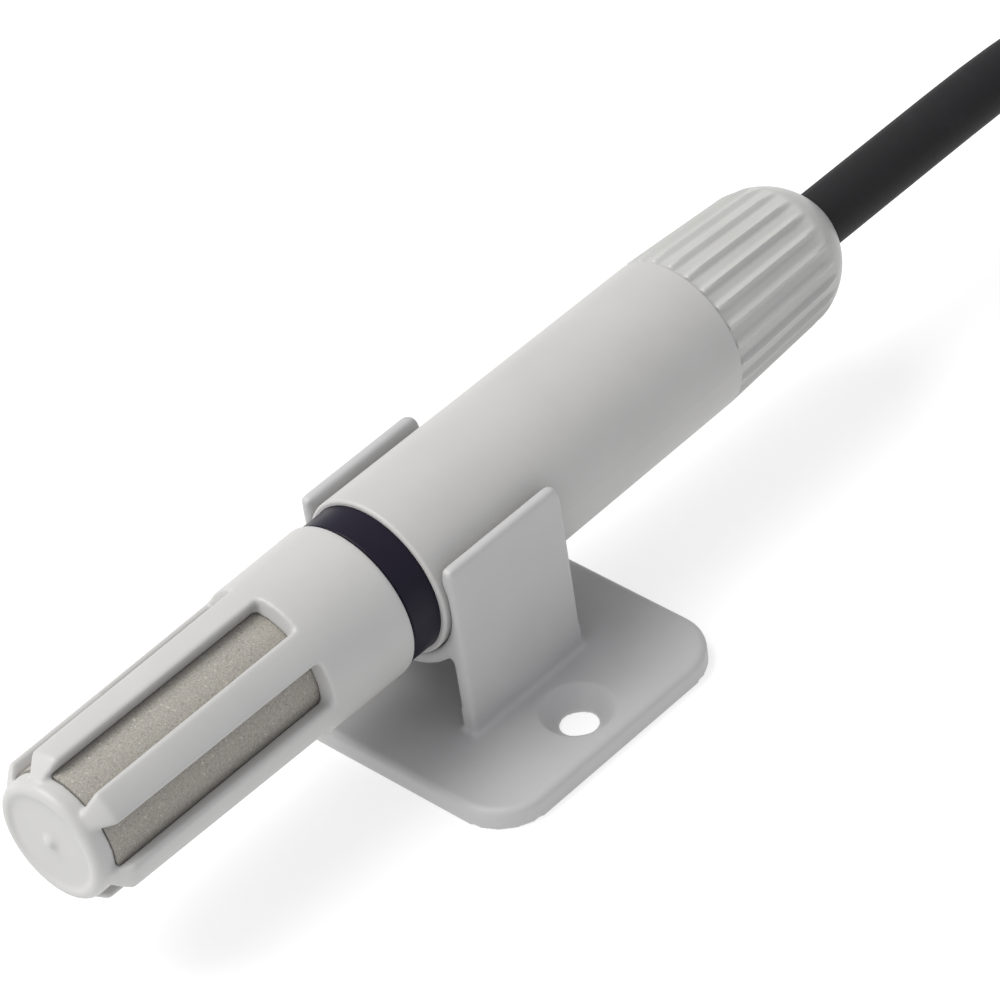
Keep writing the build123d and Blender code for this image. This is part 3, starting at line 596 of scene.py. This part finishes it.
class PROBE_OT_cable(bpy.types.Operator):
    """Lay the cable from the gland to the coil and on to the plug"""

    bl_idname = "probe.cable"
    bl_label = "Cable"

    # points of the route before and after the coil, in mm
    lead_in = ((0.0, 31.6, AXIS), (0.0, 64.0, AXIS), (0.0, 96.0, 18.1))
    lead_out = ((50.3, 108.5, 7.4), (50.3, 95.0, 7.4))
    # where the cable joins and leaves the coil, in degrees round it, and how far along their
    # tangents the two points lie that lead it in and out
    entry_angle, exit_angle = 200.0, 0.0
    tangent_near, tangent_far = 25.0, 40.0
    # radii of the inner and outer turns, and heights of the lower and upper layer
    inner, outer, low, high = 29.75, 36.25, 4.35, 10.85
    # degrees travelled where the cable starts to cross inwards, down and outwards, and how long it takes
    inwards, downwards, outwards, crossing = 270.0, 630.0, 910.0, 80.0
    whole_turns, point_step = 3, 15.0

    def crossed(self, travelled, start):
        """How far a crossing has got, as an angle from 0 to a quarter turn."""
        share = min(1.0, max(0.0, (travelled - start) / self.crossing))
        return math.radians(90.0) * share * share * (3 - 2 * share)

    def coil_point(self, travelled, spread):
        """Point of the coil after an angle: outer high turn, inner high, inner low, outer low."""
        step = self.outer - self.inner
        radius = self.inner + step * math.cos(self.crossed(travelled, self.inwards))
        height = self.high - step * math.sin(self.crossed(travelled, self.downwards))
        if travelled > self.outwards:
            radius = self.inner + step * (1 - math.cos(self.crossed(travelled, self.outwards)))
        angle = math.radians(self.entry_angle - travelled)
        return (
            COIL_MIDDLE[0] + radius * spread * math.cos(angle),
            COIL_MIDDLE[1] + radius * spread * math.sin(angle),
            height,
        )

    def beside_coil(self, angle, height, distance):
        """Point on the tangent of the coil's outer turn, a distance along the cable."""
        turn = math.radians(angle)
        x = COIL_MIDDLE[0] + self.outer * math.cos(turn) + distance * math.sin(turn)
        y = COIL_MIDDLE[1] + self.outer * math.sin(turn) - distance * math.cos(turn)
        return (x, y, height)

    def route(self):
        """Points of the whole cable, in millimetres."""
        whole = 360.0 * self.whole_turns + self.entry_angle - self.exit_angle
        count = round(whole / self.point_step)
        step = whole / count
        # the curve touches the middle of each side between points, so these stand a little outside the turn
        spread = 1.0 / math.cos(math.radians(step / 2))
        points = list(self.lead_in)
        for distance in (-self.tangent_far, -self.tangent_near):
            points.append(self.beside_coil(self.entry_angle, self.high, distance))
        for k in range(count):
            points.append(self.coil_point((k + 0.5) * step, spread))
        for distance in (self.tangent_near, self.tangent_far):
            points.append(self.beside_coil(self.exit_angle, self.low, distance))
        return points + list(self.lead_out)

    def execute(self, context):
        sizes = context.scene.probe_sizes
        points = self.route()
        line = bpy.data.curves.new("cable_jacket", "CURVE")
        line.dimensions = "3D"
        spline = line.splines.new("NURBS")
        spline.points.add(len(points) - 1)
        for point, (x, y, z) in zip(spline.points, points):
            point.co = (x * MM, y * MM, z * MM, 1.0)
        spline.order_u = 3
        spline.use_endpoint_u = True
        spline.resolution_u = 6
        line.bevel_depth = sizes.cable_diameter / 2
        line.bevel_resolution = 8
        line.use_fill_caps = True
        cable = bpy.data.objects.new("cable_jacket", line)
        context.scene.collection.objects.link(cable)
        line.materials.append(finish_for("cable_jacket"))
        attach(cable, "root")
        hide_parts("cable", "cable_coil", "cable_tail")
        return {"FINISHED"}


# ---------------------------------------------------------------- soft mouldings


class PROBE_OT_soft_mouldings(bpy.types.Operator):
    """Round off the edges of the cap and the clip, as a moulding tool leaves them"""

    bl_idname = "probe.soft_mouldings"
    bl_label = "Soft mouldings"

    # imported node, name of its piece, slot, width of the even mesh in mm and rounds of smoothing
    pieces = (
        ("filter_cap", "filter_cap_moulding", "cap_plastic", 0.21, 5),
        ("mounting_clip", "clip_moulding", "clip_plastic", 0.24, 4),
    )
    smoothing = 0.5
    # height above which the clip's arms are rounded further, and the rounds that takes
    arm_foot, arm_rounds = 5.0 * MM, 28
    # the gate mark: its middle, its radius and how flat it is along the probe
    gate_place = (0.0, -53.75 * MM, AXIS_HEIGHT)
    gate_radius, gate_flatness = 0.8 * MM, 0.8

    def execute(self, context):
        for node, name, slot, grid, rounds in self.pieces:
            self.soften(context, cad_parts[node], name, slot, grid, rounds)
        return {"FINISHED"}

    def soften(self, context, node, name, slot, grid, rounds):
        """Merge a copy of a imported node, lay an even mesh over it and smooth its edges."""
        clear_selection()
        piece = bpy.data.objects.new(name, node.data.copy())
        piece.data.name = name
        context.scene.collection.objects.link(piece)
        piece.select_set(True)
        context.view_layer.objects.active = piece
        bpy.ops.object.mode_set(mode="EDIT")
        bpy.ops.mesh.select_all(action="SELECT")
        bpy.ops.mesh.remove_doubles(threshold=0.002 * MM)
        if node.name == "filter_cap":
            self.add_gate_mark()
        bpy.ops.object.mode_set(mode="OBJECT")
        add_modifier(piece, "REMESH", mode="VOXEL", voxel_size=grid * MM)
        add_modifier(piece, "SMOOTH", factor=self.smoothing, iterations=rounds)
        bpy.ops.object.mode_set(mode="EDIT")
        if node.name == "mounting_clip":
            self.round_arms(piece)
        close_piece(piece, finish_for(slot), [node.name], smooth_angle=60.0, merge=False)

    def round_arms(self, piece):
        """Round the arms' edges further than the plate's, then stretch the arms to their old height."""
        self.pick_arms(piece)
        bpy.ops.object.vertex_group_assign_new()
        group = piece.vertex_groups.active.name
        bpy.ops.object.mode_set(mode="OBJECT")
        before = self.top(piece)
        add_modifier(piece, "SMOOTH", factor=self.smoothing, iterations=self.arm_rounds, vertex_group=group)
        stretch = (before - self.arm_foot) / (self.top(piece) - self.arm_foot)
        bpy.ops.object.mode_set(mode="EDIT")
        self.pick_arms(piece)
        bpy.ops.transform.resize(value=(1.0, 1.0, stretch), center_override=(0.0, 0.0, self.arm_foot))

    def pick_arms(self, piece):
        """Select the arms, from just above the plate."""
        pick(piece, "VERT", lambda point: point.co.z > self.arm_foot)

    def top(self, piece):
        """Height of the piece's highest point."""
        return max(point.co.z for point in piece.data.vertices)

    def add_gate_mark(self):
        """The small dome in the dish of the cap's end disc, where the plastic came in."""
        bpy.ops.mesh.select_all(action="DESELECT")
        bpy.ops.mesh.primitive_uv_sphere_add(
            segments=32, ring_count=16, radius=self.gate_radius, location=self.gate_place
        )
        bpy.ops.transform.resize(value=(1.0, self.gate_flatness, 1.0), center_override=self.gate_place)


# ---------------------------------------------------------------- gland nut


class PROBE_OT_gland_nut(bpy.types.Operator):
    """Model the ribbed gland nut ring by ring"""

    bl_idname = "probe.gland_nut"
    bl_label = "Gland nut"

    # places along the probe and radii, in mm
    front, shoulder, rear = 35.85, 49.0, 56.4
    front_radius, shoulder_radius, mouth_radius = 8.82, 8.12, 4.1
    dome_radius = 8.95
    # first rings of the outside: distance from the front and how far they stand back, which breaks the edge
    edge_rings = ((0.0, 0.25), (0.12, 0.1), (0.35, 0.0))
    # the other rings of the outside, close together where the shoulder turns
    flank_rings = (38.0, 40.5, 43.0, 45.5, 47.5, 48.6)
    turn_rings, turn_step = 12, 0.3
    dome_rings = (52.8, 53.4, 54.0, 54.6, 55.1, 55.5, 55.9, 56.2)
    # rings of the inside, from the mouth back to the front, each with its radius
    inside_rings = (
        (rear, 3.55), (56.15, 3.55), (53.0, 3.56), (52.6, 4.85),
        (47.0, 6.05), (45.5, 6.45), (45.45, 7.1), (front, 7.1),
    )
    # kinds of points, from a rib's crest to the middle of the valley: each one's share of the valley's depth
    rib_profile = (0.0, 0.22, 0.84, 1.0, 1.0, 1.0)
    points_per_rib = 10

    def outline(self, along):
        """Radius of the nut over its ribs at a distance along the probe."""
        if along <= self.shoulder:
            share = (along - self.front) / (self.shoulder - self.front)
            return self.front_radius + share * (self.shoulder_radius - self.front_radius)
        chord = Vector((self.rear - self.shoulder, self.mouth_radius - self.shoulder_radius))
        middle = Vector((self.shoulder, self.shoulder_radius)) + chord / 2
        inward = Vector((chord.y, -chord.x)).normalized()
        centre = middle + inward * math.sqrt(self.dome_radius**2 - (chord.length / 2) ** 2)
        return centre.y + math.sqrt(max(0.0, self.dome_radius**2 - (along - centre.x) ** 2))

    def valley_floor(self, along):
        """Radius of the valleys, which run on straight until the dome cuts them off."""
        slope = (self.front_radius - self.shoulder_radius) / (self.shoulder - self.front)
        depth = bpy.context.scene.probe_sizes.nut_valley / MM
        return min(self.front_radius - depth - slope * (along - self.front), self.outline(along))

    def ribbed_ring(self, along, setback=0.0):
        """A ring of the outside: its place and the radii of its kinds of points."""
        crest = self.outline(along) - setback
        valley = min(self.valley_floor(along), crest)
        return along, [crest - drop * (crest - valley) for drop in self.rib_profile]

    def rings(self):
        """All rings in order, over the outside to the mouth and through the inside back to the front."""
        turn = [self.shoulder + self.turn_step * k for k in range(self.turn_rings)]
        rings = [self.ribbed_ring(self.front + step, setback) for step, setback in self.edge_rings]
        rings += [self.ribbed_ring(along) for along in (*self.flank_rings, *turn, *self.dome_rings)]
        rings += [(along, [radius] * len(self.rib_profile)) for along, radius in self.inside_rings]
        return rings

    def execute(self, context):
        self.around = context.scene.probe_sizes.nut_ribs * self.points_per_rib
        clear_selection()
        bpy.ops.mesh.primitive_circle_add(
            vertices=self.around,
            radius=self.front_radius * MM,
            fill_type="NOTHING",
            location=(0.0, self.front * MM, AXIS_HEIGHT),
            rotation=(math.pi / 2, 0.0, 0.0),
        )
        nut = name_piece("gland_nut_ribbed")
        bpy.ops.object.mode_set(mode="OBJECT")
        bpy.ops.object.transform_apply(location=True, rotation=True, scale=True)
        bpy.ops.object.mode_set(mode="EDIT")
        bpy.ops.mesh.select_all(action="SELECT")
        self.radii = [self.front_radius] * len(self.rib_profile)
        rings = self.rings()
        self.shape_ring(nut, *rings[0])
        for (before, _), (along, radii) in zip(rings, rings[1:]):
            step = (0.0, (along - before) * MM, 0.0)
            bpy.ops.mesh.extrude_region_move(TRANSFORM_OT_translate={"value": step})
            self.shape_ring(nut, along, radii)
        pick(nut, "VERT", lambda point: abs(point.co.y - self.front * MM) < 0.01 * MM)
        bpy.ops.mesh.bridge_edge_loops()
        close_piece(nut, finish_for("nut_plastic"), ["gland_nut"], smooth_angle=50.0)
        return {"FINISHED"}

    def kind(self, place):
        """How far a point is from its rib's crest, in steps round the ring."""
        angle = math.atan2(place.z - AXIS_HEIGHT, place.x) / (2 * math.pi) * self.around
        step = round(angle) % self.points_per_rib
        return min(step, self.points_per_rib - step)

    def shape_ring(self, nut, along, radii):
        """Move the points of the selected ring to their radii, one kind after the other."""
        shape = bmesh.from_edit_mesh(nut.data)
        shape.verts.index_update()
        ring = {point.index for point in shape.verts if point.select}
        centre = (0.0, along * MM, AXIS_HEIGHT)
        for kind, radius in enumerate(radii):
            factor = radius / self.radii[kind]
            if abs(factor - 1.0) > 1e-9:
                pick(nut, "VERT", lambda point: point.index in ring and self.kind(point.co) == kind)
                bpy.ops.transform.resize(value=(factor, 1.0, factor), center_override=centre)
                self.radii[kind] = radius
        pick(nut, "VERT", lambda point: point.index in ring)


# ---------------------------------------------------------------- coil straps


class PROBE_OT_coil_straps(bpy.types.Operator):
    """Model the two straps that hold the put-away coil together"""

    bl_idname = "probe.coil_straps"
    bl_label = "Coil straps"

    # the middle of the bundle of turns: distance from the coil's middle and height, in mm
    bundle_radius, bundle_height = 33.0, 7.6
    # half the loop's opening, radius of its corners, room for the strap and what the strap leaves of it
    half, rounding, thickness, play = 6.65, 3.2, 0.8, 0.05
    edge_break = 0.2
    # the buckle: length, extra width over the strap, height, rise of its middle and rounding of its edges
    buckle_length, buckle_extra, buckle_height, buckle_rise, buckle_rounding = 5.6, 1.6, 2.2, 0.9, 0.4
    # places of the straps, in degrees round the coil
    angles = (90.0, 270.0)

    def execute(self, context):
        width = context.scene.probe_sizes.tie_width
        clear_selection()
        bpy.ops.mesh.primitive_cube_add(size=1.0, location=(0.0, 0.0, 0.0))
        strap = name_piece("coil_straps")
        outer = 2 * (self.half + self.thickness) * MM
        bpy.ops.transform.resize(value=(outer, width, outer))
        pick(strap, "FACE", lambda face: abs(face.normal.y) > 0.9)
        bpy.ops.mesh.delete(type="FACE")
        pick(strap, "EDGE", self.runs_across)
        bpy.ops.mesh.bevel(offset=(self.rounding + self.thickness) * MM, segments=8, affect="EDGES")
        bpy.ops.object.mode_set(mode="OBJECT")
        add_modifier(strap, "SOLIDIFY", thickness=(self.thickness - self.play) * MM, offset=-1.0)
        add_modifier(
            strap,
            "BEVEL",
            width=self.edge_break * MM,
            segments=2,
            limit_method="ANGLE",
            angle_limit=math.radians(60),
        )
        bpy.ops.object.mode_set(mode="EDIT")
        self.add_buckle(width)
        bpy.ops.mesh.select_all(action="SELECT")
        bpy.ops.transform.translate(value=(self.bundle_radius * MM, 0.0, self.bundle_height * MM))
        bpy.ops.object.mode_set(mode="OBJECT")
        self.place_copies(strap)
        close_piece(strap, finish_for("tie_plastic"), ["coil_ties"], merge=False)
        return {"FINISHED"}

    def runs_across(self, edge):
        """Whether an edge runs along the strap's width."""
        run = edge.verts[0].co - edge.verts[1].co
        return abs(run.y) > 0.9 * run.length

    def add_buckle(self, width):
        """The strap's buckle: a small rounded block on top of the loop."""
        bpy.ops.mesh.select_all(action="DESELECT")
        place = (0.0, 0.0, (self.half + self.thickness + self.buckle_rise) * MM)
        size = (self.buckle_length * MM, width + self.buckle_extra * MM, self.buckle_height * MM)
        bpy.ops.mesh.primitive_cube_add(size=1.0, location=place)
        bpy.ops.transform.resize(value=size, center_override=place)
        bpy.ops.mesh.bevel(offset=self.buckle_rounding * MM, segments=3, affect="EDGES")

    def place_copies(self, strap):
        """Copy the strap, turn both into place round the coil and join them."""
        strap.select_set(True)
        bpy.context.view_layer.objects.active = strap
        bpy.ops.object.duplicate()
        other = bpy.context.object
        for piece, angle in zip((strap, other), self.angles):
            piece.rotation_euler = (0.0, 0.0, math.radians(angle))
            piece.location = (COIL_MIDDLE[0] * MM, COIL_MIDDLE[1] * MM, 0.0)
        strap.select_set(True)
        bpy.context.view_layer.objects.active = strap
        bpy.ops.object.transform_apply(location=True, rotation=True, scale=True)
        bpy.ops.object.join()
        bpy.ops.object.mode_set(mode="EDIT")


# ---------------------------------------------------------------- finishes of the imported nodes

NODE_SLOTS = {
    "mounting_clip": "clip_plastic",
    "body_tube": "body_plastic",
    "sensor_head": "head_plastic",
    "head_o_ring": "seal_rubber",
    "cap_o_ring": "seal_rubber",
    "filter_cap": "cap_plastic",
    "filter_sleeve": "filter_mesh",
    "element_board": "board_laminate",
    "temperature_element": "element_ceramic",
    "humidity_element": "element_film",
    "element_leads": "contact_metal",
    "contact_pins": "contact_metal",
    "signal_board": "board_laminate",
    "pin_socket": "dark_moulding",
    "processor_chip": "dark_moulding",
    "board_capacitors": "capacitor_ceramic",
    "wire_terminal": "terminal_plastic",
    "lead_wire_1": "wire_brown",
    "lead_wire_2": "wire_white",
    "lead_wire_3": "wire_blue",
    "lead_wire_4": "wire_black",
    "gland_seal": "seal_rubber",
    "gland_clamp": "clamp_plastic",
    "gland_nut": "nut_plastic",
    "cable": "cable_jacket",
    "cable_coil": "cable_jacket",
    "coil_ties": "tie_plastic",
    "cable_tail": "cable_jacket",
    "plug_back_nut": "plug_metal",
    "plug_shell": "plug_metal",
    "plug_collar": "plug_collar_metal",
    "plug_insert": "dark_moulding",
    "plug_contacts": "contact_metal",
}


class PROBE_OT_finishes(bpy.types.Operator):
    """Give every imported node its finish"""

    bl_idname = "probe.finishes"
    bl_label = "Finishes"

    def execute(self, context):
        for name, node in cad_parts.items():
            finish = finish_for(NODE_SLOTS[name])
            if not node.material_slots:
                node.data.materials.append(finish)
            for slot in node.material_slots:
                slot.material = finish
        return {"FINISHED"}


# ---------------------------------------------------------------- panel and registration

STEPS = (
    PROBE_OT_stage,
    PROBE_OT_coil_straps,
    PROBE_OT_cable,
    PROBE_OT_soft_mouldings,
    PROBE_OT_gland_nut,
    PROBE_OT_finishes,
)


class PROBE_PT_panel(bpy.types.Panel):
    """Lists the probe's pieces and their settings"""

    bl_idname = "PROBE_PT_panel"
    bl_label = "Temperature probe"
    bl_space_type = "VIEW_3D"
    bl_region_type = "UI"
    bl_category = "Probe"

    def draw(self, context):
        for group in (context.scene.probe_sizes, context.scene.probe_colours, context.scene.probe_stage):
            box = self.layout.box()
            for name in group.bl_rna.properties.keys():
                if name not in ("rna_type", "name"):
                    box.prop(group, name)
        for step in STEPS:
            self.layout.operator(step.bl_idname)


CLASSES = (ProbeSizes, ProbeColours, ProbeStage, *STEPS, PROBE_PT_panel)


def register():
    """Register the classes and hang the settings on the scene."""
    for item in CLASSES:
        bpy.utils.register_class(item)
    bpy.types.Scene.probe_sizes = bpy.props.PointerProperty(type=ProbeSizes)
    bpy.types.Scene.probe_colours = bpy.props.PointerProperty(type=ProbeColours)
    bpy.types.Scene.probe_stage = bpy.props.PointerProperty(type=ProbeStage)


def unregister():
    """Take the settings and the classes away again."""
    del bpy.types.Scene.probe_sizes
    del bpy.types.Scene.probe_colours
    del bpy.types.Scene.probe_stage
    for item in reversed(CLASSES):
        bpy.utils.unregister_class(item)


def main():
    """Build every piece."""
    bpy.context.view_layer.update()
    register()
    bpy.ops.probe.stage()
    bpy.ops.probe.coil_straps()
    bpy.ops.probe.cable()
    bpy.ops.probe.soft_mouldings()
    bpy.ops.probe.gland_nut()
    bpy.ops.probe.finishes()


if __name__ == "__main__":
    main()
